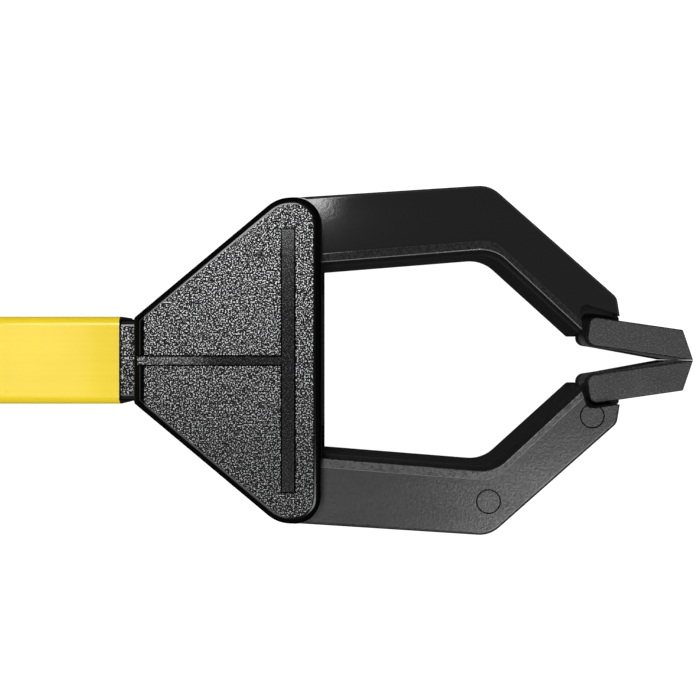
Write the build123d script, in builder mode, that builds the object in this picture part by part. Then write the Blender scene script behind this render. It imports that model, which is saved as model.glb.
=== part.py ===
from build123d import *

import os
from math import asin, atan2, cos, degrees, hypot, radians, sin

# Reacher grabber lying on its side, in millimetres.
# +X runs along the shaft towards the jaws, +Z is the normal of the head's broad face.
# The origin is on the flat back face, under the shaft's axis, between the two jaw pivots.
# The jaws are closed and the trigger is squeezed.

# ---- Driving dimensions ----

THICKNESS = 27.0  # of the head and of the handle
MID = THICKNESS / 2  # height of the shaft's axis
WALL = 2.4  # walls of the moulded shells
PLATE = 3.2  # broad faces of the head
CAVITY = MID - PLATE  # half the height inside the head
RUNNING = 0.05  # radial gap of a pivot
SIDE_GAP = 0.4  # gap beside a moving plate

PIVOT_Y = 30.2  # arm pivots, either side of the shaft's axis
PIVOT_R = 4.0  # pivot bosses of the front cover
CRANK = 24.0  # pivot to drive pin
CRANK_LEAN = 18.0  # lean of the cranks at half travel
ARM_SWING = 25.0  # closed to fully open

SHAFT_W, SHAFT_H = 20.0, 14.0
SHAFT_WALL = 1.2
SHAFT_FRONT = -40.2
TRIGGER_X = -478.0  # trigger pivot along the shaft
TRIGGER_Y = 22.0  # trigger pivot above the shaft's axis
SHAFT_REAR = TRIGGER_X + 24.0
FRONT_SHAFT_SCREW = SHAFT_FRONT - 12.0
REAR_SHAFT_SCREW = SHAFT_REAR + 9.0

ROD_R = 2.5
DRIVE_PIN_R = 2.0
SLOT_PLAY = 0.12  # gap of a pin in its slot, each side
SCREW_R = 1.5
SCREW_HEAD_R = 3.1
SCREW_HEAD_H = 1.9
SCREW_SINK = 2.2
SCREW_HEAD_GAP = 0.2
RECESS_LONG, RECESS_WIDE, RECESS_DEEP = 3.4, 0.8, 1.0  # cross recess of a screw

TIP_LENGTH = 24.6
TIP_HEIGHT = 6.5
TIP_HALF_DEPTH = 6.1
TIP_TILT = 8.2
TIP_END = (90.75, 0.05)  # inner corner where the tips meet
TIP_PIN_R = 1.25
TIP_BACK = 4.2  # tip pin from the tip's rear end
TONGUE = 2.4  # half the thickness of the arm's tongue

# ---- Motion, worked out from the above ----

CLOSED_LEAN = radians(CRANK_LEAN + ARM_SWING / 2)
OPEN_LEAN = radians(CRANK_LEAN - ARM_SWING / 2)
ROD_TRAVEL = 2 * CRANK * sin(radians(ARM_SWING / 2)) / cos(radians(CRANK_LEAN))
TRIGGER_HALF_SWING = asin(ROD_TRAVEL / 2 / TRIGGER_Y)
DRIVE_PIN = (-CRANK * sin(CLOSED_LEAN), PIVOT_Y - CRANK * cos(CLOSED_LEAN))
DRIVE_PIN_OPEN = (-CRANK * sin(OPEN_LEAN) - ROD_TRAVEL, PIVOT_Y - CRANK * cos(OPEN_LEAN))
LINK_PIN = (
    TRIGGER_X - TRIGGER_Y * sin(TRIGGER_HALF_SWING),
    TRIGGER_Y - TRIGGER_Y * cos(TRIGGER_HALF_SWING),
)

os.makedirs("parts", exist_ok=True)


# ---- Helpers ----


def level(height):
    """The plane parallel to the broad faces, at a height above the shaft's axis."""
    return Plane.XY.offset(MID + height)


def slab(outline, low, high, mode=Mode.ADD):
    """A plate between two heights; the outline lists x, y and corner radius."""
    with BuildSketch(level(low)) as profile:
        with BuildLine():
            FilletPolyline(
                *[(x, y) for x, y, _ in outline],
                radius=[radius for *_, radius in outline],
                close=True,
            )
        make_face()
    return extrude(profile.sketch, amount=high - low, mode=mode)


def disc(centre, radius, low, high, mode=Mode.ADD):
    """A round plate, boss, pin or hole between two heights."""
    with BuildSketch(level(low)) as profile:
        with Locations(centre):
            Circle(radius)
    return extrude(profile.sketch, amount=high - low, mode=mode)


def link(start, start_radius, end, end_radius, low, high):
    """A plate with two round ends and straight flanks."""
    with BuildSketch(level(low)) as profile:
        with Locations(start):
            Circle(start_radius)
        with Locations(end):
            Circle(end_radius)
        make_hull()
    return extrude(profile.sketch, amount=high - low)


def slot(start, end, radius, low, high):
    """A slot cut between two centres."""
    run = Vector(*end) - Vector(*start)
    with BuildSketch(level(low)) as profile:
        with Locations((Vector(*start) + Vector(*end)) / 2):
            SlotCenterToCenter(run.length, 2 * radius, rotation=degrees(atan2(run.Y, run.X)))
    return extrude(profile.sketch, amount=high - low, mode=Mode.SUBTRACT)


def bar(x_from, x_to, y_from, y_to, low, high, mode=Mode.ADD):
    """A rectangular block between two heights."""
    with BuildSketch(level(low)) as profile:
        with Locations(((x_from + x_to) / 2, (y_from + y_to) / 2)):
            Rectangle(x_to - x_from, y_to - y_from)
    return extrude(profile.sketch, amount=high - low, mode=mode)


def bore_along_shaft(radius, x_from, x_to, mode=Mode.SUBTRACT):
    """A round rod or hole along the shaft's axis."""
    with BuildSketch(Plane.YZ.offset(x_from)) as profile:
        with Locations((0, MID)):
            Circle(radius)
    return extrude(profile.sketch, amount=x_to - x_from, mode=mode)


def parallel(points, distance):
    """The open line of straight runs shifted sideways by a distance, to its left."""
    runs = list(zip(points, points[1:]))
    normals = [
        ((y0 - y1) / hypot(x1 - x0, y1 - y0), (x1 - x0) / hypot(x1 - x0, y1 - y0))
        for (x0, y0), (x1, y1) in runs
    ]
    normals = [normals[0], *normals, normals[-1]]
    shifted = []
    for (x, y), before, after in zip(points, normals, normals[1:]):
        mitre = distance / (1 + before[0] * after[0] + before[1] * after[1])
        shifted.append((x + mitre * (before[0] + after[0]), y + mitre * (before[1] + after[1])))
    return shifted


def mirrored(outline):
    """An outline turned over the shaft's axis."""
    return [(x, -y, *rest) for x, y, *rest in outline]


def screw_hole(centre):
    """The hole and the sunk seat of a screw in a back half."""
    disc(centre, SCREW_R, -MID, 0, mode=Mode.SUBTRACT)
    seat_r = SCREW_HEAD_R + SCREW_HEAD_GAP
    disc(centre, seat_r, -MID, -MID + SCREW_SINK, mode=Mode.SUBTRACT)


def screw(centre, seat, length):
    """A pan-head screw driven upwards, its head below the seat."""
    disc(centre, SCREW_HEAD_R, seat - SCREW_HEAD_H, seat)
    disc(centre, SCREW_R, seat, seat + length)
    for angle in (0, 90):
        with BuildSketch(level(seat - SCREW_HEAD_H)) as cross:
            with Locations(centre):
                Rectangle(RECESS_LONG, RECESS_WIDE, rotation=angle)
        extrude(cross.sketch, amount=RECESS_DEEP, mode=Mode.SUBTRACT)


def save(part, name):
    """Labels a finished piece and writes it under its own name."""
    part.label = name
    export_step(part, f"parts/{name}.step")


# ---- Shaft ----

SHAFT_CORNER = 2.0

with BuildPart() as shaft_tube:
    with BuildSketch(Plane.YZ.offset(SHAFT_REAR)):
        with Locations((0, MID)):
            RectangleRounded(SHAFT_W, SHAFT_H, SHAFT_CORNER)
            RectangleRounded(
                SHAFT_W - 2 * SHAFT_WALL,
                SHAFT_H - 2 * SHAFT_WALL,
                SHAFT_CORNER - SHAFT_WALL,
                mode=Mode.SUBTRACT,
            )
    extrude(amount=SHAFT_FRONT - SHAFT_REAR)
    for screw_x in (FRONT_SHAFT_SCREW, REAR_SHAFT_SCREW):
        disc((screw_x, 0), SCREW_R, -SHAFT_H / 2, 0, mode=Mode.SUBTRACT)
save(shaft_tube.part, "shaft_tube")

# ---- Head covers ----

HEAD_LEFT, HEAD_RIGHT = -35.6, 6.0
HEAD_HALF = 36.2  # half the width across the jaw pivots
HEAD_NECK_HALF = 9.5
HEAD_SLOPE_END = -3.7
HEAD_EDGE = 1.8  # rounding of the broad face's edge
NECK_LEFT = -39.8
NECK_HALF, NECK_HIGH, NECK_EDGE = 9.35, 6.6, 1.6
SPIGOT_LEFT = -60.0
SPIGOT_HALF, SPIGOT_HIGH, SPIGOT_EDGE = 8.7, 5.7, 1.0
BUSH_LEFT, BUSH_RIGHT, BUSH_R = -46.0, -38.0, 4.5
ROD_CHANNEL_R = 3.3
BACK_SCREW = (-27.0, 10.6)
PIVOT_SCREW_LONG, BACK_SCREW_LONG = 14.0, 18.0
PIVOT_BORE_TOP, BACK_BORE_TOP = 4.0, 8.0  # screw holes of the front cover end at these heights
SCREW_BOSS_R = 3.4
WALL_STOP = 15.0  # the wall between the arms ends here

HEAD_OUTLINE = [
    (HEAD_LEFT, -HEAD_NECK_HALF, 1.0),
    (HEAD_SLOPE_END, -HEAD_HALF, 8.0),
    (HEAD_RIGHT, -HEAD_HALF, 6.0),
    (HEAD_RIGHT, HEAD_HALF, 6.0),
    (HEAD_SLOPE_END, HEAD_HALF, 8.0),
    (HEAD_LEFT, HEAD_NECK_HALF, 1.0),
]
SLOPE = atan2(HEAD_HALF - HEAD_NECK_HALF, HEAD_SLOPE_END - HEAD_LEFT)
INSIDE_LEFT = HEAD_LEFT + WALL
INSIDE_RIGHT = HEAD_RIGHT - WALL
INSIDE_START = HEAD_NECK_HALF + WALL * (sin(SLOPE) - 1) / cos(SLOPE)
INSIDE_END = INSIDE_START + (INSIDE_RIGHT - INSIDE_LEFT) * sin(SLOPE) / cos(SLOPE)
HEAD_INSIDE = [
    (INSIDE_LEFT, -INSIDE_START, 0),
    (INSIDE_RIGHT, -INSIDE_END, 0),
    (INSIDE_RIGHT, INSIDE_END, 0),
    (INSIDE_LEFT, INSIDE_START, 0),
]
ARM_MOUTH = [
    (-1.0, WALL_STOP, 0),
    (HEAD_RIGHT + 3, WALL_STOP, 0),
    (HEAD_RIGHT + 3, HEAD_HALF + 3, 0),
    (-1.0, HEAD_HALF + 3, 0),
]
ARM_BOSS_R = 6.5  # round rear end of the arm
ARM_BOSS_GAP = 0.7
RIB_HIGH = 0.6
RIB_ROOT = 0.5  # the rib reaches this far into the cover
RIB_GROOVE, RIB_GROOVE_DEEP = 0.35, 0.25  # groove round the rib's foot
RIB_BAR_X, RIB_BAR_W, RIB_BAR_HALF = -1.3, 2.65, 28.8
RIB_STEM_W, RIB_STEM_LEFT = 1.7, -34.4


def rib(grow, low, high, mode=Mode.ADD):
    """The T-shaped rib of the front cover, or, grown a little, the groove round its foot."""
    bar_half = RIB_BAR_W / 2 + grow
    stem_half = RIB_STEM_W / 2 + grow
    reach = RIB_BAR_HALF + grow
    bar(RIB_BAR_X - bar_half, RIB_BAR_X + bar_half, -reach, reach, low, high, mode=mode)
    bar(RIB_STEM_LEFT - grow, RIB_BAR_X, -stem_half, stem_half, low, high, mode=mode)


def head_half(low, high):
    """One half of the head between its broad face and the mid-plane, neck and spigot included."""
    side = 1 if high > 0 else -1
    slab(HEAD_OUTLINE, low, high)
    face = faces().sort_by(Axis.Z)[-1 if side > 0 else 0]
    fillet(face.edges(), HEAD_EDGE)
    neck_low, neck_high = sorted((0, side * NECK_HIGH))
    bar(NECK_LEFT, HEAD_LEFT + 1, -NECK_HALF, NECK_HALF, neck_low, neck_high)
    rounded = edges().filter_by(Axis.X).filter_by_position(Axis.X, NECK_LEFT, HEAD_LEFT)
    fillet(rounded.filter_by(lambda edge: abs(edge.center().Z - MID) > 1), NECK_EDGE)
    spigot_low, spigot_high = sorted((0, side * SPIGOT_HIGH))
    bar(SPIGOT_LEFT, NECK_LEFT, -SPIGOT_HALF, SPIGOT_HALF, spigot_low, spigot_high)
    corners = edges().filter_by(Axis.X).filter_by_position(Axis.X, SPIGOT_LEFT, NECK_LEFT)
    fillet(corners.filter_by(lambda edge: abs(edge.center().Z - MID) > 1), SPIGOT_EDGE)
    cavity_low, cavity_high = sorted((0, side * CAVITY))
    slab(HEAD_INSIDE, cavity_low, cavity_high, mode=Mode.SUBTRACT)
    for turn in (1, -1):
        mouth = ARM_MOUTH if turn > 0 else mirrored(ARM_MOUTH)
        slab(mouth, cavity_low, cavity_high, mode=Mode.SUBTRACT)
        disc(
            (0, turn * PIVOT_Y),
            ARM_BOSS_R + ARM_BOSS_GAP,
            cavity_low,
            cavity_high,
            mode=Mode.SUBTRACT,
        )
        disc((BACK_SCREW[0], turn * BACK_SCREW[1]), SCREW_BOSS_R, cavity_low, cavity_high)
    bore_along_shaft(ROD_CHANNEL_R, SPIGOT_LEFT, INSIDE_LEFT)
    bore_along_shaft(BUSH_R, BUSH_LEFT, BUSH_RIGHT)
    disc((FRONT_SHAFT_SCREW, 0), SCREW_R, -SPIGOT_HIGH, -ROD_CHANNEL_R + 0.5, mode=Mode.SUBTRACT)


with BuildPart() as head_front_cover:
    head_half(0, MID)
    rib(RIB_GROOVE, MID - RIB_GROOVE_DEEP, MID, mode=Mode.SUBTRACT)
    rib(0, MID - RIB_ROOT, MID + RIB_HIGH)
    for turn in (1, -1):
        disc((0, turn * PIVOT_Y), PIVOT_R, -CAVITY, CAVITY)
        disc((0, turn * PIVOT_Y), SCREW_R, -CAVITY, PIVOT_BORE_TOP, mode=Mode.SUBTRACT)
        back_screw = (BACK_SCREW[0], turn * BACK_SCREW[1])
        disc(back_screw, SCREW_R, 0, BACK_BORE_TOP, mode=Mode.SUBTRACT)
save(head_front_cover.part, "head_front_cover")

with BuildPart() as head_back_cover:
    head_half(-MID, 0)
    for turn in (1, -1):
        screw_hole((0, turn * PIVOT_Y))
        screw_hole((BACK_SCREW[0], turn * BACK_SCREW[1]))
save(head_back_cover.part, "head_back_cover")

with BuildPart() as head_screws:
    for turn in (1, -1):
        screw((0, turn * PIVOT_Y), -MID + SCREW_SINK, PIVOT_SCREW_LONG)
        screw((BACK_SCREW[0], turn * BACK_SCREW[1]), -MID + SCREW_SINK, BACK_SCREW_LONG)
save(head_screws.part, "head_screws")

with BuildPart() as head_rod_bush:
    bore_along_shaft(BUSH_R, BUSH_LEFT, BUSH_RIGHT, mode=Mode.ADD)
    bore_along_shaft(ROD_R + RUNNING, BUSH_LEFT, BUSH_RIGHT)
save(head_rod_bush.part, "head_rod_bush")

# ---- Jaw arms ----

ARM_FACE = 9.5  # half the depth over the broad faces
RIM_FACE = 10.0  # half the depth over the raised rim
LAND_FACE = 7.2  # half the depth of the inner land
LIP_STEP, LIP_STEP_END = 0.9, 0.5  # the land stands out this far, less at its end
RIM_EDGE = 0.25  # rounding of the rim's edges
ARM_EDGE = 0.8  # rounding of the outer edges
RIM_STRAIGHT, RIM_SLANTED = 2.1, 1.5  # rim widths
CRANK_LOW, CRANK_HIGH = 3.4, 7.0  # heights of the crank plates
CRANK_ROOT_R, CRANK_END_R = 4.8, 4.0
EJECTOR_R, EJECTOR_RING, EJECTOR_DEEP = 2.8, 0.3, 0.3
EJECTOR_MARKS = [(43.4, 31.7), (66.7, 12.5)]

INNER_EDGE = [(6.0, 21.05), (44.3, 24.1), (70.0, 0.85)]  # of the land, open line
OUTER_EDGE = [(0.0, 36.7, 0), (43.8, 39.5, 6.6), (72.4, 14.2, 2.6), (73.2, 9.2, 0)]
ARM_HEEL = (-2.5, 24.2, 0)
BEND_R = 8.3
TONGUE_TRIM = [
    (64.6, -6, 0),
    (64.6, 6.4, 0),
    (67.0, 6.0, 0),
    (70.0, 3.7, 0),
    (80, 3.7, 0),
    (80, -6, 0),
]
TONGUE_R = 2.7
TONGUE_ROOT, TONGUE_ROOT_R = (67.5, 11.0), 3.6
TONGUE_NOSE = [(72.0, 5.8, 0), (74.8, 5.8, 0), (74.8, 10.2, 0.8), (72.0, 10.6, 0)]
TIP_POCKET = [
    (64.4, 0, 0),
    (64.0, 6.5, 0),
    (65.6, 10.7, 1.0),
    (67.5, 10.75, 0),
    (76, 9.55, 0),
    (76, 0, 0),
]
BACK_POCKET = [
    (64.4, 0, 0),
    (64.4, 5.6, 0),
    (67.2, 5.6, 0),
    (67.2, 10.7, 0),
    (76, 9.55, 0),
    (76, 0, 0),
]
BACK_POCKET_FACE = 6.6  # beyond this depth the pocket's rear wall stands nearer the tip
POCKET_RECESS = [(64.4, 5.6, 0), (63.8, 13.1, 1.4), (72.4, 10.4, 0), (72.4, 5.6, 0)]
RECESS_FLOOR = 5.9  # height of the shallow recess round the upper pocket

TIP_ALONG = (cos(radians(TIP_TILT)), -sin(radians(TIP_TILT)))
TIP_ACROSS = (sin(radians(TIP_TILT)), cos(radians(TIP_TILT)))


def on_tip(along, across):
    """A point of the upper tip, from its inner rear corner."""
    along -= TIP_LENGTH
    return (
        TIP_END[0] + along * TIP_ALONG[0] + across * TIP_ACROSS[0],
        TIP_END[1] + along * TIP_ALONG[1] + across * TIP_ACROSS[1],
    )


TIP_PIN = on_tip(TIP_BACK, TIP_HEIGHT / 2)


def arm_outline(inner):
    """The arm's outline with its inner edge on the given line."""
    start, bend, end = inner
    return [
        *OUTER_EDGE,
        (end[0] + 2, end[1], 0),
        (*end, 0),
        (*bend, BEND_R),
        (*start, 0),
        ARM_HEEL,
    ]


def rim_outline(inner):
    """The narrow rim along the inner edge, wider on the straight run."""
    outer = parallel(inner, RIM_STRAIGHT)
    slanted = parallel(inner, RIM_SLANTED)
    along = (slanted[2][0] - slanted[1][0], slanted[2][1] - slanted[1][1])
    run = (outer[1][0] - outer[0][0], outer[1][1] - outer[0][1])
    gap = (slanted[1][0] - outer[0][0], slanted[1][1] - outer[0][1])
    share = (gap[0] * along[1] - gap[1] * along[0]) / (run[0] * along[1] - run[1] * along[0])
    corner = (outer[0][0] + share * run[0], outer[0][1] + share * run[1])
    return [
        (*inner[0], 0),
        (*inner[1], BEND_R),
        (*inner[2], 0),
        (*slanted[2], 0),
        (*corner, BEND_R - RIM_SLANTED),
        (*outer[0], 0),
    ]


def jaw_arm(turn, marked_side):
    """One arm: turn is 1 for the upper and -1 for the lower arm."""

    def placed(outline):
        return outline if turn > 0 else mirrored(outline)

    pivot = (0, turn * PIVOT_Y)
    drive = (DRIVE_PIN[0], turn * DRIVE_PIN[1])
    lip = [*parallel(INNER_EDGE, LIP_STEP)[:-1], parallel(INNER_EDGE, LIP_STEP_END)[-1]]
    slab(placed(arm_outline(lip)), -ARM_FACE, ARM_FACE)
    outer_side = [
        edge
        for edge in edges().filter_by(lambda edge: abs(abs(edge.center().Z - MID) - ARM_FACE) < 0.01)
        if turn * edge.center().Y > 36 or (edge.center().X > 50 and turn * edge.center().Y > 16)
    ]
    fillet(outer_side, ARM_EDGE)
    disc(pivot, ARM_BOSS_R, -ARM_FACE, ARM_FACE)
    slab(placed(arm_outline(INNER_EDGE)), -LAND_FACE, LAND_FACE)
    slab(placed(rim_outline(lip)), -RIM_FACE, RIM_FACE)
    on_rim = edges().filter_by(lambda edge: abs(abs(edge.center().Z - MID) - RIM_FACE) < 0.01)
    fillet(on_rim, RIM_EDGE)
    slab(placed(TIP_POCKET), TONGUE, RIM_FACE, mode=Mode.SUBTRACT)
    slab(placed(TIP_POCKET), -BACK_POCKET_FACE, -TONGUE, mode=Mode.SUBTRACT)
    slab(placed(BACK_POCKET), -RIM_FACE, -BACK_POCKET_FACE, mode=Mode.SUBTRACT)
    if turn > 0:
        slab(POCKET_RECESS, RECESS_FLOOR, RIM_FACE, mode=Mode.SUBTRACT)
    slab(placed(TONGUE_TRIM), -TONGUE, TONGUE, mode=Mode.SUBTRACT)
    slab(placed(TONGUE_NOSE), -TONGUE, TONGUE)
    tongue_root = (TONGUE_ROOT[0], turn * TONGUE_ROOT[1])
    tip_pin = (TIP_PIN[0], turn * TIP_PIN[1])
    link(tongue_root, TONGUE_ROOT_R, tip_pin, TONGUE_R, -TONGUE, TONGUE)
    for low, high in ((CRANK_LOW, CRANK_HIGH), (-CRANK_HIGH, -CRANK_LOW)):
        link(pivot, CRANK_ROOT_R, drive, CRANK_END_R, low, high)
    disc(pivot, PIVOT_R + RUNNING, -ARM_FACE, ARM_FACE, mode=Mode.SUBTRACT)
    disc(drive, DRIVE_PIN_R, -CRANK_HIGH, CRANK_HIGH, mode=Mode.SUBTRACT)
    disc(tip_pin, TIP_PIN_R + RUNNING, -TONGUE, TONGUE, mode=Mode.SUBTRACT)
    ring_low, ring_high = sorted((marked_side * (ARM_FACE - EJECTOR_DEEP), marked_side * ARM_FACE))
    for x, y in EJECTOR_MARKS:
        with BuildSketch(level(ring_low)) as ring:
            with Locations((x, turn * y)):
                Circle(EJECTOR_R)
                Circle(EJECTOR_R - EJECTOR_RING, mode=Mode.SUBTRACT)
        extrude(ring.sketch, amount=ring_high - ring_low, mode=Mode.SUBTRACT)


with BuildPart() as upper_jaw_arm:
    jaw_arm(1, -1)
save(upper_jaw_arm.part, "upper_jaw_arm")

with BuildPart() as lower_jaw_arm:
    jaw_arm(-1, 1)
save(lower_jaw_arm.part, "lower_jaw_arm")

# ---- Tips ----

TIP_BEVEL = 3.3  # the end is cut back this far on the outer side
TIP_REAR_R = 2.0
GRIP_FACE = 4.5  # half the depth of the grip wedge on the inner face
GRIP_FLAT = 4.8  # the closed wedges touch over this length
GRIP_ROOT = 1.0  # the wedge reaches this far into the tip block
TIP_SLOT = TONGUE + 0.2
TIP_SLOT_END = 9.0
TIP_BORE = 5.0  # half the length of the tip pin
TIP_EDGE = 0.35


def jaw_tip(turn):
    """One tip block, slotted over the arm's tongue."""
    corners = [
        (0, 0, TIP_REAR_R),
        (TIP_LENGTH, 0, 0),
        (TIP_LENGTH - TIP_BEVEL, TIP_HEIGHT, 0.5),
        (0, TIP_HEIGHT, 1.6),
    ]
    outline = [(*on_tip(along, across), radius) for along, across, radius in corners]
    slot_top = TIP_HEIGHT + 2
    slot_corners = [(-2, -2), (TIP_SLOT_END, -2), (TIP_SLOT_END, slot_top), (-2, slot_top)]
    slot_outline = [(*on_tip(along, across), 0) for along, across in slot_corners]
    grip_outline = [
        (*on_tip(TIP_REAR_R, 0), 0),
        (TIP_END[0] - GRIP_FLAT, TIP_END[1], 0),
        (*TIP_END, 0),
        (*on_tip(TIP_LENGTH - GRIP_ROOT, GRIP_ROOT), 0),
        (*on_tip(TIP_REAR_R, GRIP_ROOT), 0),
    ]
    if turn < 0:
        outline = mirrored(outline)
        slot_outline = mirrored(slot_outline)
        grip_outline = mirrored(grip_outline)
    slab(outline, -TIP_HALF_DEPTH, TIP_HALF_DEPTH)
    broad = faces().filter_by(Plane.XY)
    fillet(broad.edges(), TIP_EDGE)
    slab(grip_outline, -GRIP_FACE, GRIP_FACE)
    slab(slot_outline, -TIP_SLOT, TIP_SLOT, mode=Mode.SUBTRACT)
    disc((TIP_PIN[0], turn * TIP_PIN[1]), TIP_PIN_R, -TIP_BORE, TIP_BORE, mode=Mode.SUBTRACT)


with BuildPart() as upper_jaw_tip:
    jaw_tip(1)
save(upper_jaw_tip.part, "upper_jaw_tip")

with BuildPart() as lower_jaw_tip:
    jaw_tip(-1)
save(lower_jaw_tip.part, "lower_jaw_tip")

with BuildPart() as upper_tip_pin:
    disc(TIP_PIN, TIP_PIN_R, -TIP_BORE, TIP_BORE)
save(upper_tip_pin.part, "upper_tip_pin")

with BuildPart() as lower_tip_pin:
    disc((TIP_PIN[0], -TIP_PIN[1]), TIP_PIN_R, -TIP_BORE, TIP_BORE)
save(lower_tip_pin.part, "lower_tip_pin")

with BuildPart() as upper_drive_pin:
    disc(DRIVE_PIN, DRIVE_PIN_R, -CRANK_HIGH, CRANK_HIGH)
save(upper_drive_pin.part, "upper_drive_pin")

with BuildPart() as lower_drive_pin:
    disc((DRIVE_PIN[0], -DRIVE_PIN[1]), DRIVE_PIN_R, -CRANK_HIGH, CRANK_HIGH)
save(lower_drive_pin.part, "lower_drive_pin")

# ---- Crosshead and pull rod ----

PLATE_HALF = CRANK_LOW - SIDE_GAP  # half the thickness of the crosshead plate
CROSSHEAD_LEFT, CROSSHEAD_RIGHT, CROSSHEAD_HALF = -18.0, -7.4, 13.6
HUB_LEFT, HUB_R = -31.5, 4.5
ROD_FRONT = CROSSHEAD_LEFT - 2.0
CROSS_PIN_R, CROSS_PIN_X = 1.0, -26.0
SLOT_OVERRUN = 0.4
PIN_SUNK = 0.1  # cross pins end this far below the surface

with BuildPart() as crosshead:
    slab(
        [
            (CROSSHEAD_LEFT, -5.0, 1.0),
            (CROSSHEAD_LEFT + 1.5, -CROSSHEAD_HALF, 2.5),
            (CROSSHEAD_RIGHT, -CROSSHEAD_HALF, 2.5),
            (CROSSHEAD_RIGHT, CROSSHEAD_HALF, 2.5),
            (CROSSHEAD_LEFT + 1.5, CROSSHEAD_HALF, 2.5),
            (CROSSHEAD_LEFT, 5.0, 1.0),
        ],
        -PLATE_HALF,
        PLATE_HALF,
    )
    bore_along_shaft(HUB_R, HUB_LEFT, CROSSHEAD_LEFT + 0.5, mode=Mode.ADD)
    bore_along_shaft(ROD_R, HUB_LEFT, ROD_FRONT)
    run = Vector(*DRIVE_PIN) - Vector(*DRIVE_PIN_OPEN)
    overrun = run.normalized() * SLOT_OVERRUN
    for turn in (1, -1):
        first = Vector(*DRIVE_PIN) + overrun
        last = Vector(*DRIVE_PIN_OPEN) - overrun
        slot(
            (first.X, turn * first.Y),
            (last.X, turn * last.Y),
            DRIVE_PIN_R + SLOT_PLAY,
            -PLATE_HALF,
            PLATE_HALF,
        )
    disc((CROSS_PIN_X, 0), CROSS_PIN_R, -HUB_R, HUB_R, mode=Mode.SUBTRACT)
save(crosshead.part, "crosshead")

with BuildPart() as crosshead_pin:
    disc((CROSS_PIN_X, 0), CROSS_PIN_R, -HUB_R + PIN_SUNK, HUB_R - PIN_SUNK)
save(crosshead_pin.part, "crosshead_pin")

YOKE_HALF = 6.0  # half the width of the yoke
YOKE_EDGE = 1.2
LEVER_HALF = 4.0  # half the thickness of the trigger's lever
LEVER_GAP = 0.3
YOKE_LOW, YOKE_HIGH = LEVER_HALF + LEVER_GAP, 7.3  # heights of the yoke's cheeks
YOKE_GAP_REAR, YOKE_GAP_FRONT = LINK_PIN[0] - 9.0, LINK_PIN[0] + 10.0
YOKE_REAR, YOKE_FRONT = LINK_PIN[0] - 13.0, LINK_PIN[0] + 15.5
YOKE_HUB_END = YOKE_FRONT + 10.0
YOKE_PIN_X = YOKE_FRONT + 5.0
SPRING_GUIDE_R, SPRING_GUIDE_END = 2.75, YOKE_REAR - 7.0
ROD_REAR = YOKE_GAP_FRONT + 1.0

with BuildPart() as rod_yoke:
    bar(YOKE_REAR, YOKE_FRONT, -YOKE_HALF, YOKE_HALF, -YOKE_HIGH, YOKE_HIGH)
    fillet(edges().filter_by(Axis.Z), YOKE_EDGE)
    bar(YOKE_GAP_REAR, YOKE_GAP_FRONT, -YOKE_HALF, YOKE_HALF, -YOKE_LOW, YOKE_LOW, mode=Mode.SUBTRACT)
    bore_along_shaft(HUB_R, YOKE_FRONT - 0.5, YOKE_HUB_END, mode=Mode.ADD)
    bore_along_shaft(SPRING_GUIDE_R, SPRING_GUIDE_END, YOKE_REAR + 0.5, mode=Mode.ADD)
    bore_along_shaft(ROD_R, ROD_REAR, YOKE_HUB_END)
    slot(
        (LINK_PIN[0], LINK_PIN[1] + SLOT_OVERRUN),
        (LINK_PIN[0], -SLOT_OVERRUN),
        DRIVE_PIN_R + SLOT_PLAY,
        -YOKE_HIGH,
        YOKE_HIGH,
    )
    disc((YOKE_PIN_X, 0), CROSS_PIN_R, -HUB_R, HUB_R, mode=Mode.SUBTRACT)
save(rod_yoke.part, "rod_yoke")

with BuildPart() as yoke_pin:
    disc((YOKE_PIN_X, 0), CROSS_PIN_R, -HUB_R + PIN_SUNK, HUB_R - PIN_SUNK)
save(yoke_pin.part, "yoke_pin")

with BuildPart() as pull_rod:
    bore_along_shaft(ROD_R, ROD_REAR, ROD_FRONT, mode=Mode.ADD)
    for pin_x in (CROSS_PIN_X, YOKE_PIN_X):
        disc((pin_x, 0), CROSS_PIN_R, -ROD_R, ROD_R, mode=Mode.SUBTRACT)
save(pull_rod.part, "pull_rod")


GUIDE_LENGTH = 12.0
FRONT_GUIDE = SHAFT_FRONT - 140.0
REAR_GUIDE = SHAFT_FRONT - 275.0
SHAFT_SCREW_HEAD_R, SHAFT_SCREW_HEAD_H = 2.8, 1.4
SHAFT_SCREWS = [(FRONT_SHAFT_SCREW, 4.0), (REAR_SHAFT_SCREW, 1.2)]  # place and depth


def rod_guide(centre):
    """A spacer that fills the tube around the rod."""
    with BuildSketch(Plane.YZ.offset(centre - GUIDE_LENGTH / 2)) as section:
        with Locations((0, MID)):
            RectangleRounded(
                SHAFT_W - 2 * SHAFT_WALL,
                SHAFT_H - 2 * SHAFT_WALL,
                SHAFT_CORNER - SHAFT_WALL,
            )
            Circle(ROD_R + 2 * RUNNING, mode=Mode.SUBTRACT)
    extrude(section.sketch, amount=GUIDE_LENGTH)


with BuildPart() as rod_guide_front:
    rod_guide(FRONT_GUIDE)
save(rod_guide_front.part, "rod_guide_front")

with BuildPart() as rod_guide_rear:
    rod_guide(REAR_GUIDE)
save(rod_guide_rear.part, "rod_guide_rear")

with BuildPart() as shaft_screws:
    for screw_x, depth in SHAFT_SCREWS:
        head_low = -SHAFT_H / 2 - SHAFT_SCREW_HEAD_H
        disc((screw_x, 0), SHAFT_SCREW_HEAD_R, head_low, -SHAFT_H / 2)
        disc((screw_x, 0), SCREW_R, -SHAFT_H / 2, -SHAFT_H / 2 + depth)
save(shaft_screws.part, "shaft_screws")

# ---- Handle shells ----

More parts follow.
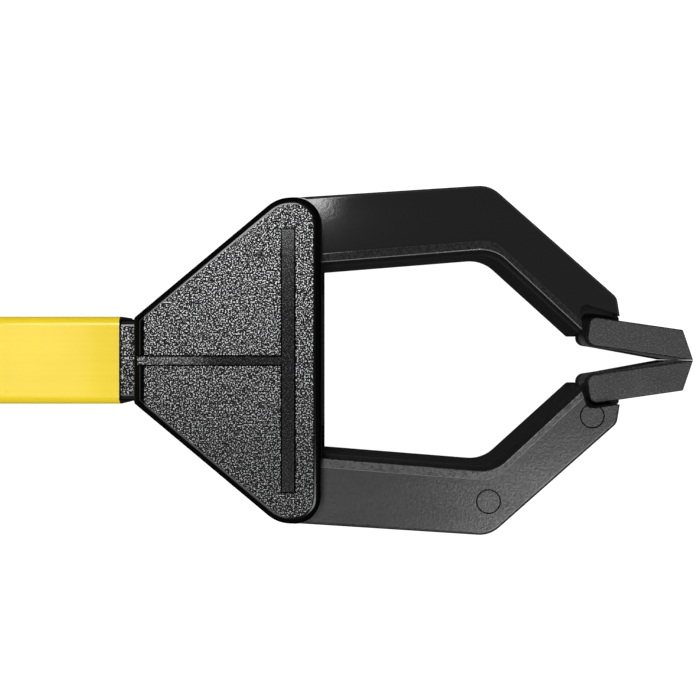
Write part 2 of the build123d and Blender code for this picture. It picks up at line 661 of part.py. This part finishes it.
HANDLE_INSIDE = MID - WALL  # half the height inside the handle
HANDLE_EDGE = 5.0
PIVOT_PIN_R = 2.5
PIVOT_PIN_HALF = 12.0
PIVOT_BOSS_R = 5.0
SPRING_SEAT = TRIGGER_X - 44.0
SPRING_WALL, SPRING_WALL_HALF = 2.5, 9.0
SOCKET_DEEP = 60.0  # the shaft's socket, out through the front
LANYARD_R, LANYARD_RING = 3.5, 2.5
HANDLE_SCREW_LONG = 18.0
HANDLE_BORE_TOP = 8.0
HEAD_POCKET_R, HEAD_POCKET_H = 3.2, 1.8  # room for the rear shaft screw's head


def at_handle(outline):
    """An outline given from the trigger pivot's foot on the shaft's axis."""
    return [(x + TRIGGER_X, y, radius) for x, y, radius in outline]


HANDLE_OUTLINE = at_handle(
    [
        (46, -14, 4),
        (46, 14, 4),
        (33, 15.5, 12),
        (17, 34, 12),
        (-22, 34, 20),
        (-60, 17, 5),
        (-55, 3, 14),
        (-67, -97, 9),
        (-60, -106, 5),
        (-33, -101, 6),
        (-25, -17, 4),
        (-19, -15, 2),
        (24, -15, 2),
    ]
)
HANDLE_CAVITY = at_handle(
    [
        (25, -11, 0),
        (31, 11, 3),
        (16, 31, 8),
        (-21, 31, 16),
        (-56, 15.5, 2),
        (-52.5, 3, 12),
        (-64, -95, 6),
        (-58.5, -102.8, 3),
        (-35.5, -98.5, 3),
        (-27.5, -19, 2),
        (-19, -18, 0),
        (-19, -13, 0),
    ]
)
TRIGGER_MOUTH = at_handle([(-19, -25, 0), (24, -25, 0), (24, -8, 0), (-19, -8, 0)])
HANDLE_SCREWS = [
    (TRIGGER_X - 24, 25.5),
    (TRIGGER_X + 14.5, 27.0),
    (TRIGGER_X - 48, -22),
    (TRIGGER_X - 42, -62),
    (TRIGGER_X - 42.5, -93),
]
LANYARD = (TRIGGER_X - 55.5, -93.0)
PIVOT = (TRIGGER_X, TRIGGER_Y)


def handle_half(side):
    """One handle shell; side is 1 for the front and -1 for the back shell."""
    low, high = sorted((0, side * MID))
    slab(HANDLE_OUTLINE, low, high)
    face = faces().sort_by(Axis.Z)[-1 if side > 0 else 0]
    fillet(face.edges(), HANDLE_EDGE)
    inner_low, inner_high = sorted((0, side * HANDLE_INSIDE))
    slab(HANDLE_CAVITY, inner_low, inner_high, mode=Mode.SUBTRACT)
    slab(TRIGGER_MOUTH, inner_low, inner_high, mode=Mode.SUBTRACT)
    for centre in HANDLE_SCREWS:
        disc(centre, SCREW_BOSS_R, inner_low, inner_high)
    disc(LANYARD, LANYARD_R + LANYARD_RING, inner_low, inner_high)
    disc(LANYARD, LANYARD_R, low, high, mode=Mode.SUBTRACT)
    boss_low, boss_high = sorted((side * (LEVER_HALF + LEVER_GAP), side * HANDLE_INSIDE))
    disc(PIVOT, PIVOT_BOSS_R, boss_low, boss_high)
    disc(PIVOT, PIVOT_PIN_R, *sorted((0, side * PIVOT_PIN_HALF)), mode=Mode.SUBTRACT)
    bar(
        SPRING_SEAT - SPRING_WALL,
        SPRING_SEAT,
        -SPRING_WALL_HALF,
        SPRING_WALL_HALF,
        inner_low,
        inner_high,
    )
    with BuildSketch(Plane.YZ.offset(SHAFT_REAR)) as socket:
        with Locations((0, MID)):
            RectangleRounded(SHAFT_W, SHAFT_H, SHAFT_CORNER)
    extrude(socket.sketch, amount=SOCKET_DEEP, mode=Mode.SUBTRACT)


with BuildPart() as handle_front_shell:
    handle_half(1)
    for centre in HANDLE_SCREWS:
        disc(centre, SCREW_R, 0, HANDLE_BORE_TOP, mode=Mode.SUBTRACT)
save(handle_front_shell.part, "handle_front_shell")

with BuildPart() as handle_back_shell:
    handle_half(-1)
    for centre in HANDLE_SCREWS:
        screw_hole(centre)
    disc(
        (REAR_SHAFT_SCREW, 0),
        HEAD_POCKET_R,
        -SHAFT_H / 2 - HEAD_POCKET_H,
        -SHAFT_H / 2 + 1,
        mode=Mode.SUBTRACT,
    )
save(handle_back_shell.part, "handle_back_shell")

with BuildPart() as handle_screws:
    for centre in HANDLE_SCREWS:
        screw(centre, -MID + SCREW_SINK, HANDLE_SCREW_LONG)
save(handle_screws.part, "handle_screws")

# ---- Trigger ----

TRIGGER_HALF = 9.0  # half the width under the fingers
TRIGGER_EDGE = 2.5
LEVER_TOP_R, LEVER_FOOT_R = 7.5, 5.0
LEVER_FOOT = (TRIGGER_X - 8.5, -12.0)
TRIGGER_OUTLINE = at_handle(
    [
        (-2.2, -11, 0),
        (-4.5, -30, 30),
        (-6.5, -62, 60),
        (1.0, -93, 3),
        (-4.5, -97, 3),
        (-13, -93, 4),
        (-18.5, -62, 60),
        (-17.0, -30, 30),
        (-13.6, -10, 0),
    ]
)

with BuildPart() as trigger:
    slab(TRIGGER_OUTLINE, -TRIGGER_HALF, TRIGGER_HALF)
    long_edges = edges().filter_by(
        lambda edge: abs(abs(edge.center().Z - MID) - TRIGGER_HALF) < 0.01 and edge.center().Y < -12
    )
    fillet(long_edges, TRIGGER_EDGE)
    link(PIVOT, LEVER_TOP_R, LEVER_FOOT, LEVER_FOOT_R, -LEVER_HALF, LEVER_HALF)
    disc(PIVOT, PIVOT_PIN_R + RUNNING, -LEVER_HALF, LEVER_HALF, mode=Mode.SUBTRACT)
    disc(LINK_PIN, DRIVE_PIN_R, -LEVER_HALF, LEVER_HALF, mode=Mode.SUBTRACT)
save(trigger.part, "trigger")

with BuildPart() as trigger_pivot_pin:
    disc(PIVOT, PIVOT_PIN_R, -PIVOT_PIN_HALF, PIVOT_PIN_HALF)
save(trigger_pivot_pin.part, "trigger_pivot_pin")

with BuildPart() as trigger_link_pin:
    disc(LINK_PIN, DRIVE_PIN_R, -YOKE_HIGH + PIN_SUNK, YOKE_HIGH - PIN_SUNK)
save(trigger_link_pin.part, "trigger_link_pin")

# ---- Return spring ----

SPRING_R, SPRING_WIRE_R = 3.9, 0.55
SPRING_TURNS = 8
SPRING_GAP = 0.1  # free space at each end of the coil

with BuildPart() as return_spring:
    spring_low = SPRING_SEAT + SPRING_WIRE_R + SPRING_GAP
    spring_high = YOKE_REAR - SPRING_WIRE_R - SPRING_GAP
    with BuildLine() as coil:
        Helix(
            pitch=(spring_high - spring_low) / SPRING_TURNS,
            height=spring_high - spring_low,
            radius=SPRING_R,
            center=(spring_low, 0, MID),
            direction=(1, 0, 0),
        )
    with BuildSketch(Plane(origin=coil.line @ 0, z_dir=coil.line % 0)):
        Circle(SPRING_WIRE_R)
    sweep()
save(return_spring.part, "return_spring")
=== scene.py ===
import math

import bmesh
import bpy
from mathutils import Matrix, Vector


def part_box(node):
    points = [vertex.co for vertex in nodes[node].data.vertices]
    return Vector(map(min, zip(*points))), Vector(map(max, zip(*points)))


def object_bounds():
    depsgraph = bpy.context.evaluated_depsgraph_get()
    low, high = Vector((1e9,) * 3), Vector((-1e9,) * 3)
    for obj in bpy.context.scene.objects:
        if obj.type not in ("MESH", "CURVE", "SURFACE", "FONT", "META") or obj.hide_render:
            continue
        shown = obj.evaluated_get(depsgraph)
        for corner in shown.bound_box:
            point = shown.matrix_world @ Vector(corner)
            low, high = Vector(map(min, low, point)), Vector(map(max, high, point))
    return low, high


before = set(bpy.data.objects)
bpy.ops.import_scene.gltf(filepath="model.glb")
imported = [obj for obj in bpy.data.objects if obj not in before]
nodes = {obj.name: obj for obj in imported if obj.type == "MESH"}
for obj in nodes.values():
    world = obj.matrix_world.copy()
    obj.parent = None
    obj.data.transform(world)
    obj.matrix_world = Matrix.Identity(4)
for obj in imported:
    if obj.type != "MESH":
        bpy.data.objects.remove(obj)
cad_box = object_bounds()

MM = 0.001

# Camera: straight above the jaws, looking down on the ribbed face
CAMERA_X = 12.3 * MM
CAMERA_Y = 2.33 * MM
CAMERA_ABOVE_ARMS = 200 * MM
CAMERA_NEAR = 1 * MM
LENS = 45.93
SENSOR = 36

# Floor and backdrop
FLOOR_SIZE = 4.0
FLOOR_ROUGHNESS = 0.8
FLOOR_GLOW = 1.0
FLOOR_PATCHES = 6  # noise scale, per metre
BACKDROP_LIGHT = 1.0

# Light of the room, by the height of the direction it comes from: -1 is below, 1 is above
GROUND_LIGHT, WALL_LIGHT, CEILING_LIGHT = 0.02, 0.45, 0.1
WALLS_START, WALLS_FULL = -0.05, 0.15
WALLS_END, CEILING_START = 0.5, 0.85

# Level panels of light above the object: x from, x to, y from, y to, radiance
SOFTBOX_HEIGHT = 0.82
SOFTBOXES = {
    "softbox_upper": (-0.38, -0.013, 0.158, 0.45, 16),
    "softbox_lower": (0.17, 0.62, -0.5, -0.16, 9),
    "softbox_low_left": (-0.42, -0.085, -0.5, -0.14, 3.5),
    "softbox_left": (-0.56, -0.28, -0.14, 0.1, 5),
}

# Head: the rib stands on the broad face, with a groove round its foot
RIB_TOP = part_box("head_front_cover")[1].z
RIB_HEIGHT = 0.6 * MM
FACE_TOP = RIB_TOP - RIB_HEIGHT
FACE_DEPTH = 1.0 * MM  # what lies no deeper than this counts as the broad face
# the groove's floor lies below this and is painted black as shade
GROOVE_EDGE = 0.1 * MM
HEAD_LEFT = -35.6 * MM
HEAD_BORDER = 2.6 * MM  # smooth strip at the left end of the broad face, painted black as shade

# Arms: a rim stands on both broad faces, and one face has round ejector marks
ARM_LOW, ARM_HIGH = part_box("upper_jaw_arm")
ARM_MID = (ARM_LOW.z + ARM_HIGH.z) / 2
RIM_STEP = 0.5 * MM
ARM_FACE = (ARM_HIGH.z - ARM_LOW.z) / 2 - RIM_STEP
RIM_START = ARM_FACE + 0.2 * MM
MARK_TOP, MARK_FLOOR = ARM_FACE - 0.15 * MM, ARM_FACE - 0.5 * MM
# inner walls below this height are painted black as shade
INNER_WALL_TOP = ARM_FACE - 1.8 * MM


# ---------------------------------------------------------------- colours
def rgb(red, green, blue):
    return (red, green, blue, 1)


def grey(level, blue=0.0):
    return (level, level, level + blue, 1)


BLACK_NYLON = grey(0.011, 0.0005)


# ---------------------------------------------------------------- node graphs
class Look:
    """A material with one Principled shader, and short ways to add nodes to it.

    Its colour and roughness hold until a pattern is fed into their sockets.
    """

    def __init__(self, name, colour, roughness, **values):
        self.material = bpy.data.materials.new(name)
        self.material.use_nodes = True
        self.tree = self.material.node_tree
        self.shader = self.tree.nodes["Principled BSDF"]
        self.set("Base Color", colour)
        self.set("Roughness", roughness)
        for socket, value in values.items():
            self.set(socket.replace("_", " "), value)
        self.place = self.node("ShaderNodeTexCoord").outputs["Object"]
        self.facing = self.node("ShaderNodeTexCoord").outputs["Normal"]

    def node(self, kind, **settings):
        made = self.tree.nodes.new(kind)
        for key, value in settings.items():
            setattr(made, key, value)
        return made

    def feed(self, socket, value):
        if hasattr(value, "is_output"):
            self.tree.links.new(value, socket)
        else:
            socket.default_value = value

    def set(self, socket, value):
        self.feed(self.shader.inputs[socket], value)

    def math(self, operation, a, b=0.0):
        made = self.node("ShaderNodeMath", operation=operation)
        self.feed(made.inputs[0], a)
        self.feed(made.inputs[1], b)
        return made.outputs[0]

    def add(self, a, b):
        return self.math("ADD", a, b)

    def minus(self, a, b):
        return self.math("SUBTRACT", a, b)

    def times(self, a, b):
        return self.math("MULTIPLY", a, b)

    def largest(self, a, b):
        return self.math("MAXIMUM", a, b)

    def size_of(self, value):
        return self.math("ABSOLUTE", value)

    def above(self, value, limit):
        return self.math("GREATER_THAN", value, limit)

    def below(self, value, limit):
        return self.math("LESS_THAN", value, limit)

    def axis(self, vector, letter):
        split = self.node("ShaderNodeSeparateXYZ")
        self.feed(split.inputs[0], vector)
        return split.outputs[letter]

    def stretched(self, scale):
        made = self.node("ShaderNodeMapping")
        self.feed(made.inputs["Vector"], self.place)
        self.feed(made.inputs["Scale"], scale)
        return made.outputs[0]

    def noise(self, scale, detail=2.0, roughness=0.5, vector=None):
        made = self.node("ShaderNodeTexNoise")
        self.feed(made.inputs["Vector"], vector or self.place)
        self.feed(made.inputs["Scale"], scale)
        self.feed(made.inputs["Detail"], detail)
        self.feed(made.inputs["Roughness"], roughness)
        return made.outputs["Fac"]

    def lines(self, stretch, roughness=0.6):
        """Noise drawn out along the axes whose stretch is small."""
        return self.noise(1.0, 3.0, roughness, self.stretched(stretch))

    def remap(self, value, low, high, to_low=0.0, to_high=1.0):
        made = self.node("ShaderNodeMapRange", clamp=True)
        self.feed(made.inputs["Value"], value)
        self.feed(made.inputs["From Min"], low)
        self.feed(made.inputs["From Max"], high)
        self.feed(made.inputs["To Min"], to_low)
        self.feed(made.inputs["To Max"], to_high)
        return made.outputs["Result"]

    def blend(self, share, first, second):
        """Mix two colours."""
        made = self.node("ShaderNodeMix", data_type="RGBA")
        self.feed(made.inputs["Factor"], share)
        first_socket, second_socket = [s for s in made.inputs if s.type == "RGBA"]
        self.feed(first_socket, first)
        self.feed(second_socket, second)
        return next(s for s in made.outputs if s.type == "RGBA")

    def mix(self, share, first, second):
        """Mix two numbers."""
        made = self.node("ShaderNodeMix", data_type="FLOAT")
        self.feed(made.inputs[0], share)
        self.feed(made.inputs[2], first)
        self.feed(made.inputs[3], second)
        return made.outputs[0]

    def bump(self, height, distance, strength=1.0):
        made = self.node("ShaderNodeBump")
        self.feed(made.inputs["Height"], height)
        self.feed(made.inputs["Strength"], strength)
        self.feed(made.inputs["Distance"], distance)
        self.set("Normal", made.outputs["Normal"])


def put_on(look, *names):
    for name in names:
        mesh = nodes[name].data
        mesh.materials.clear()
        mesh.materials.append(look.material)


# ---------------------------------------------------------------- materials
def yellow_lacquer():
    """Yellow lacquer on drawn aluminium, which is bare at the tube's cut ends."""
    deep, pale = rgb(0.61, 0.45, 0.007), rgb(0.66, 0.49, 0.014)
    look = Look("yellow_lacquer", deep, 0.32, Coat_Weight=0.2, Coat_Roughness=0.08,
                Specular_IOR_Level=0.22)
    streaks = look.lines((9, 1500, 1500))
    clouds = look.noise(45)
    tone = look.add(look.times(streaks, 0.35), look.times(clouds, 0.65))
    lacquer = look.blend(look.remap(tone, 0.35, 0.65), deep, pale)
    rear, front = [corner.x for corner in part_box("shaft_tube")]
    from_middle = look.minus(look.axis(look.place, "X"), (rear + front) / 2)
    cut_depth = 0.05 * MM
    cut = look.above(look.size_of(from_middle), (front - rear) / 2 - cut_depth)
    look.set("Base Color", look.blend(cut, lacquer, rgb(0.3, 0.29, 0.2)))
    look.set("Metallic", cut)
    look.set("Roughness", look.remap(streaks, 0.3, 0.7, 0.26, 0.38))
    look.bump(streaks, 0.004 * MM)
    return look


def head_zones(look):
    """The rib; the groove round its foot and the strip at the left end, painted black as shade;
    and all of the broad face that has no texture.
    """
    height = look.axis(look.place, "Z")
    along = look.axis(look.place, "X")
    on_face = look.above(height, FACE_TOP - FACE_DEPTH)
    on_rib = look.above(height, FACE_TOP + RIB_HEIGHT / 2)
    groove = look.below(height, FACE_TOP - GROOVE_EDGE)
    border = look.below(along, HEAD_LEFT + HEAD_BORDER)
    # painted shade: the groove floor beside the rib and the left border strip are made black and
    # metallic
    painted_shade_gap = look.times(look.minus(on_face, on_rib), look.largest(groove, border))
    rib_texture = look.remap(along, -17 * MM, -34 * MM, 0.08, 0.85)  # it fades towards the jaws
    bare_rib = look.times(on_rib, look.minus(1.0, rib_texture))
    return on_rib, painted_shade_gap, look.largest(bare_rib, painted_shade_gap)


def spark_eroded(name, outside, ribbed=False, all_round=False):
    """Black nylon from a coarse spark-eroded mould, on its outer broad face or all round. The
    grain's peaks are painted pale as glints, brighter towards +Y as painted light; on the ribbed
    face the groove round the rib and the left border are painted black as shade.
    """
    look = Look(name, BLACK_NYLON, 0.4, Specular_IOR_Level=0.3)
    grains = look.noise(3150, 1.0, 0.6)
    outwards = look.times(look.axis(look.facing, "Z"), outside)
    texture = 1.0 if all_round else look.remap(outwards, 0.998, 0.9998)
    raised, painted_shade_gap = 1.0, 0.0
    if ribbed:
        raised, painted_shade_gap, smooth = head_zones(look)
        texture = look.times(texture, look.minus(1.0, smooth))
    peaks = look.times(look.remap(grains, 0.555, 0.64), texture)
    # painted light: the glints painted on the peaks grow brighter towards +Y
    painted_glint_falloff = look.remap(look.axis(look.place, "Y"), -20 * MM, 20 * MM)
    painted_glint_colour = look.blend(painted_glint_falloff, rgb(0.33, 0.335, 0.34), rgb(0.76, 0.77, 0.78))
    valley_colour = look.blend(raised, grey(0.001, 0.0002), grey(0.006, 0.0005))
    nylon_with_painted_glints = look.blend(peaks, valley_colour, painted_glint_colour)
    # the groove round the rib and the left border strip get painted shade
    look.set("Base Color", look.blend(painted_shade_gap, nylon_with_painted_glints, grey(0.005)))
    valley_gloss = look.times(look.minus(texture, peaks), 0.7)
    look.set("Metallic", look.largest(painted_shade_gap, valley_gloss))
    lengthwise = look.axis(look.facing, "X")
    end_faces = look.largest(look.below(lengthwise, -0.3), look.above(lengthwise, 0.98))
    look.set("Roughness", look.largest(look.mix(texture, 0.13, 0.42), look.times(end_faces, 0.8)))
    look.bump(look.remap(grains, 0.3, 0.7), 0.08 * MM, texture)
    return look


def satin_arm(name, matte_side):
    """Smooth black nylon. The face on the matte side, 1 or -1 along Z, is duller and greyer. Rim
    faces turned towards -Y carry a painted highlight, and the inner walls and the floors of the
    round marks are painted black as shade.
    """
    look = Look(name, BLACK_NYLON, 0.35)
    lengthwise, crosswise, upwards = [look.axis(look.facing, letter) for letter in "XYZ"]
    flow = look.lines((40, 160, 160))
    grain = look.noise(1900, 2.0, 0.6)
    streaks = look.remap(look.mix(0.6, flow, grain), 0.42, 0.58)

    dull = look.remap(look.times(upwards, matte_side), 0.4, 0.9)
    level = look.above(look.size_of(upwards), 0.95)
    from_middle = look.size_of(look.minus(look.axis(look.place, "Z"), ARM_MID))
    on_rim = look.above(from_middle, RIM_START)
    in_mark = look.times(look.below(from_middle, MARK_TOP), look.above(from_middle, MARK_FLOOR))
    mark = look.times(level, in_mark)
    inner_side = look.above(look.times(crosswise, matte_side), -0.05)
    shaded_inner_wall = look.times(inner_side, look.below(from_middle, INNER_WALL_TOP))
    # rim faces turned towards -Y and up, which get a painted highlight
    lit_rim_edge = look.times(look.below(crosswise, -0.25), look.above(upwards, 0.1))

    dull_face = look.blend(streaks, grey(0.001, 0.0003), rgb(0.028, 0.0275, 0.028))
    face = look.blend(dull, grey(0.0085, 0.0005), dull_face)
    rim_specks = look.times(on_rim, look.remap(dull, 0.0, 1.0, 0.2, 1.0))
    specks = look.times(rim_specks, look.remap(grain, 0.4, 0.62))
    speckled = look.blend(specks, face, grey(0.06, 0.001))
    # painted highlight: pale grey on those rim faces
    with_painted_highlight = look.blend(look.times(on_rim, lit_rim_edge), speckled, grey(0.12))
    # painted shade: the inner walls, the land along them and the floors of the round marks are
    # made black and metallic
    dark = look.largest(mark, look.times(shaded_inner_wall, look.mix(level, 0.25, 0.8)))
    look.set("Base Color", look.blend(dark, with_painted_highlight, grey(0.004)))
    look.set("Metallic", dark)
    glossy_shine = look.remap(flow, 0.3, 0.7, 0.07, 0.1)
    shine = look.mix(dull, glossy_shine, look.mix(streaks, 0.34, 0.24))
    look.set("Roughness", look.mix(shaded_inner_wall, shine, 0.6))
    look.bump(grain, 0.03 * MM, look.mix(dull, 0.17, 1.0))
    return look


def satin_trigger():
    """Black nylon, smooth from the finger, with a fine grain."""
    look = Look("trigger_nylon", BLACK_NYLON, 0.35)
    flow = look.noise(90, 3.0, 0.6)
    look.set("Base Color", look.blend(flow, grey(0.008, 0.0005), grey(0.024, 0.001)))
    look.set("Roughness", look.remap(flow, 0.3, 0.7, 0.26, 0.42))
    look.bump(look.noise(2600, 2.0, 0.6), 0.02 * MM)
    return look


def grained_tip():
    """Black nylon with small pale specks and a deeper grain than the arms."""
    look = Look("grained_tip", BLACK_NYLON, 0.5)
    grain = look.noise(2500, 2.0, 0.7)
    specks = look.remap(grain, 0.5, 0.68)
    look.set("Base Color", look.blend(specks, grey(0.002), grey(0.044, 0.001)))
    look.set("Roughness", look.remap(look.noise(160), 0.3, 0.7, 0.42, 0.6))
    look.bump(grain, 0.07 * MM)
    return look


def natural_nylon():
    dark, pale = rgb(0.74, 0.7, 0.58), rgb(0.84, 0.82, 0.74)
    look = Look("natural_nylon", dark, 0.45, Subsurface_Weight=0.15, Subsurface_Scale=1.0 * MM)
    clouds = look.noise(220, 3.0, 0.6)
    look.set("Base Color", look.blend(clouds, dark, pale))
    look.set("Roughness", look.remap(clouds, 0.3, 0.7, 0.38, 0.55))
    look.bump(look.noise(1800), 0.02 * MM)
    return look


def steel(name, colour, stretch, roughness):
    look = Look(name, colour, roughness, Metallic=1.0)
    marks = look.lines(stretch, 0.65)
    stains = look.remap(look.noise(300, 3.0, 0.6), 0.35, 0.7)
    stained = rgb(*[0.72 * channel for channel in colour[:3]])
    look.set("Base Color", look.blend(stains, colour, stained))
    look.set("Roughness", look.remap(marks, 0.3, 0.7, roughness - 0.08, roughness + 0.12))
    look.bump(marks, 0.008 * MM)
    return look


def dress_the_frame():
    put_on(yellow_lacquer(), "shaft_tube")
    put_on(spark_eroded("ribbed_shell", 1, ribbed=True), "head_front_cover")
    put_on(spark_eroded("plain_shell", -1), "head_back_cover")
    handle_shell = spark_eroded("handle_shell", 1, all_round=True)
    put_on(handle_shell, "handle_front_shell", "handle_back_shell")
    put_on(satin_arm("upper_arm_nylon", -1), "upper_jaw_arm")
    put_on(satin_arm("lower_arm_nylon", 1), "lower_jaw_arm")
    put_on(grained_tip(), "upper_jaw_tip", "lower_jaw_tip")
    put_on(satin_trigger(), "trigger")
    put_on(natural_nylon(), "head_rod_bush", "rod_guide_front", "rod_guide_rear")
    zinc = steel("zinc_plated", rgb(0.55, 0.56, 0.6), (400, 400, 400), 0.3)
    put_on(zinc, "head_screws", "shaft_screws", "handle_screws")
    drawn = steel("drawn_steel", grey(0.6, 0.01), (30, 1500, 1500), 0.25)
    put_on(drawn, "pull_rod", "upper_drive_pin", "lower_drive_pin", "upper_tip_pin",
           "lower_tip_pin", "trigger_pivot_pin", "trigger_link_pin", "crosshead_pin", "yoke_pin")
    pressed = steel("pressed_steel", grey(0.5, 0.02), (700, 700, 700), 0.35)
    put_on(pressed, "crosshead", "rod_yoke")
    put_on(steel("spring_wire", grey(0.42, 0.02), (900, 900, 900), 0.3), "return_spring")


# ---------------------------------------------------------------- studio
def floor():
    mesh = bpy.data.meshes.new("floor")
    shape = bmesh.new()
    bmesh.ops.create_grid(shape, x_segments=8, y_segments=8, size=FLOOR_SIZE / 2)
    shape.to_mesh(mesh)
    shape.free()
    plane = bpy.data.objects.new("floor", mesh)
    bpy.context.scene.collection.objects.link(plane)
    plane.location.z = cad_box[0].z
    look = Look("pale_floor", grey(0.15), FLOOR_ROUGHNESS, Emission_Color=grey(1.0),
                Emission_Strength=FLOOR_GLOW)
    look.set("Base Color", look.blend(look.noise(FLOOR_PATCHES), grey(0.14), grey(0.15)))
    mesh.materials.append(look.material)
    plane.visible_glossy = False


def softbox(name, x_from, x_to, y_from, y_to, radiance):
    light = bpy.data.lights.new(name, "AREA")
    light.shape = "RECTANGLE"
    light.size = x_to - x_from
    light.size_y = y_to - y_from
    light.energy = radiance * math.pi * light.size * light.size_y
    box = bpy.data.objects.new(name, light)
    bpy.context.scene.collection.objects.link(box)
    box.location = ((x_from + x_to) / 2, (y_from + y_to) / 2, SOFTBOX_HEIGHT)


def room():
    """An even backdrop for the camera, and bright walls under a dark ceiling for the object."""
    world = bpy.data.worlds.new("room")
    bpy.context.scene.world = world
    world.use_nodes = True
    tree = world.node_tree
    tree.nodes.clear()

    way = tree.nodes.new("ShaderNodeTexCoord")
    split = tree.nodes.new("ShaderNodeSeparateXYZ")
    tree.links.new(way.outputs["Generated"], split.inputs[0])
    least = tree.nodes.new("ShaderNodeMath")
    least.operation = "MINIMUM"
    steps = [
        (WALLS_START, WALLS_FULL, GROUND_LIGHT, WALL_LIGHT),
        (WALLS_END, CEILING_START, WALL_LIGHT, CEILING_LIGHT),
    ]
    for slot, values in enumerate(steps):
        step = tree.nodes.new("ShaderNodeMapRange")
        for socket, value in zip(("From Min", "From Max", "To Min", "To Max"), values):
            step.inputs[socket].default_value = value
        tree.links.new(split.outputs["Z"], step.inputs["Value"])
        tree.links.new(step.outputs["Result"], least.inputs[slot])

    lit = tree.nodes.new("ShaderNodeBackground")
    seen = tree.nodes.new("ShaderNodeBackground")
    for background in (lit, seen):
        background.inputs["Color"].default_value = grey(1.0)
    tree.links.new(least.outputs[0], lit.inputs["Strength"])
    seen.inputs["Strength"].default_value = BACKDROP_LIGHT
    path = tree.nodes.new("ShaderNodeLightPath")
    mixed = tree.nodes.new("ShaderNodeMixShader")
    out = tree.nodes.new("ShaderNodeOutputWorld")
    tree.links.new(path.outputs["Is Camera Ray"], mixed.inputs["Fac"])
    tree.links.new(lit.outputs[0], mixed.inputs[1])
    tree.links.new(seen.outputs[0], mixed.inputs[2])
    tree.links.new(mixed.outputs[0], out.inputs["Surface"])
    bpy.context.scene.view_settings.view_transform = "Standard"


def camera():
    data = bpy.data.cameras.new("camera")
    data.sensor_width = SENSOR
    data.lens = LENS
    data.clip_start = CAMERA_NEAR
    eye = bpy.data.objects.new("camera", data)
    bpy.context.scene.collection.objects.link(eye)
    eye.location = (CAMERA_X, CAMERA_Y, ARM_HIGH.z + CAMERA_ABOVE_ARMS)
    bpy.context.scene.camera = eye


camera()
room()
floor()
for softbox_name, panel in SOFTBOXES.items():
    softbox(softbox_name, *panel)
dress_the_frame()
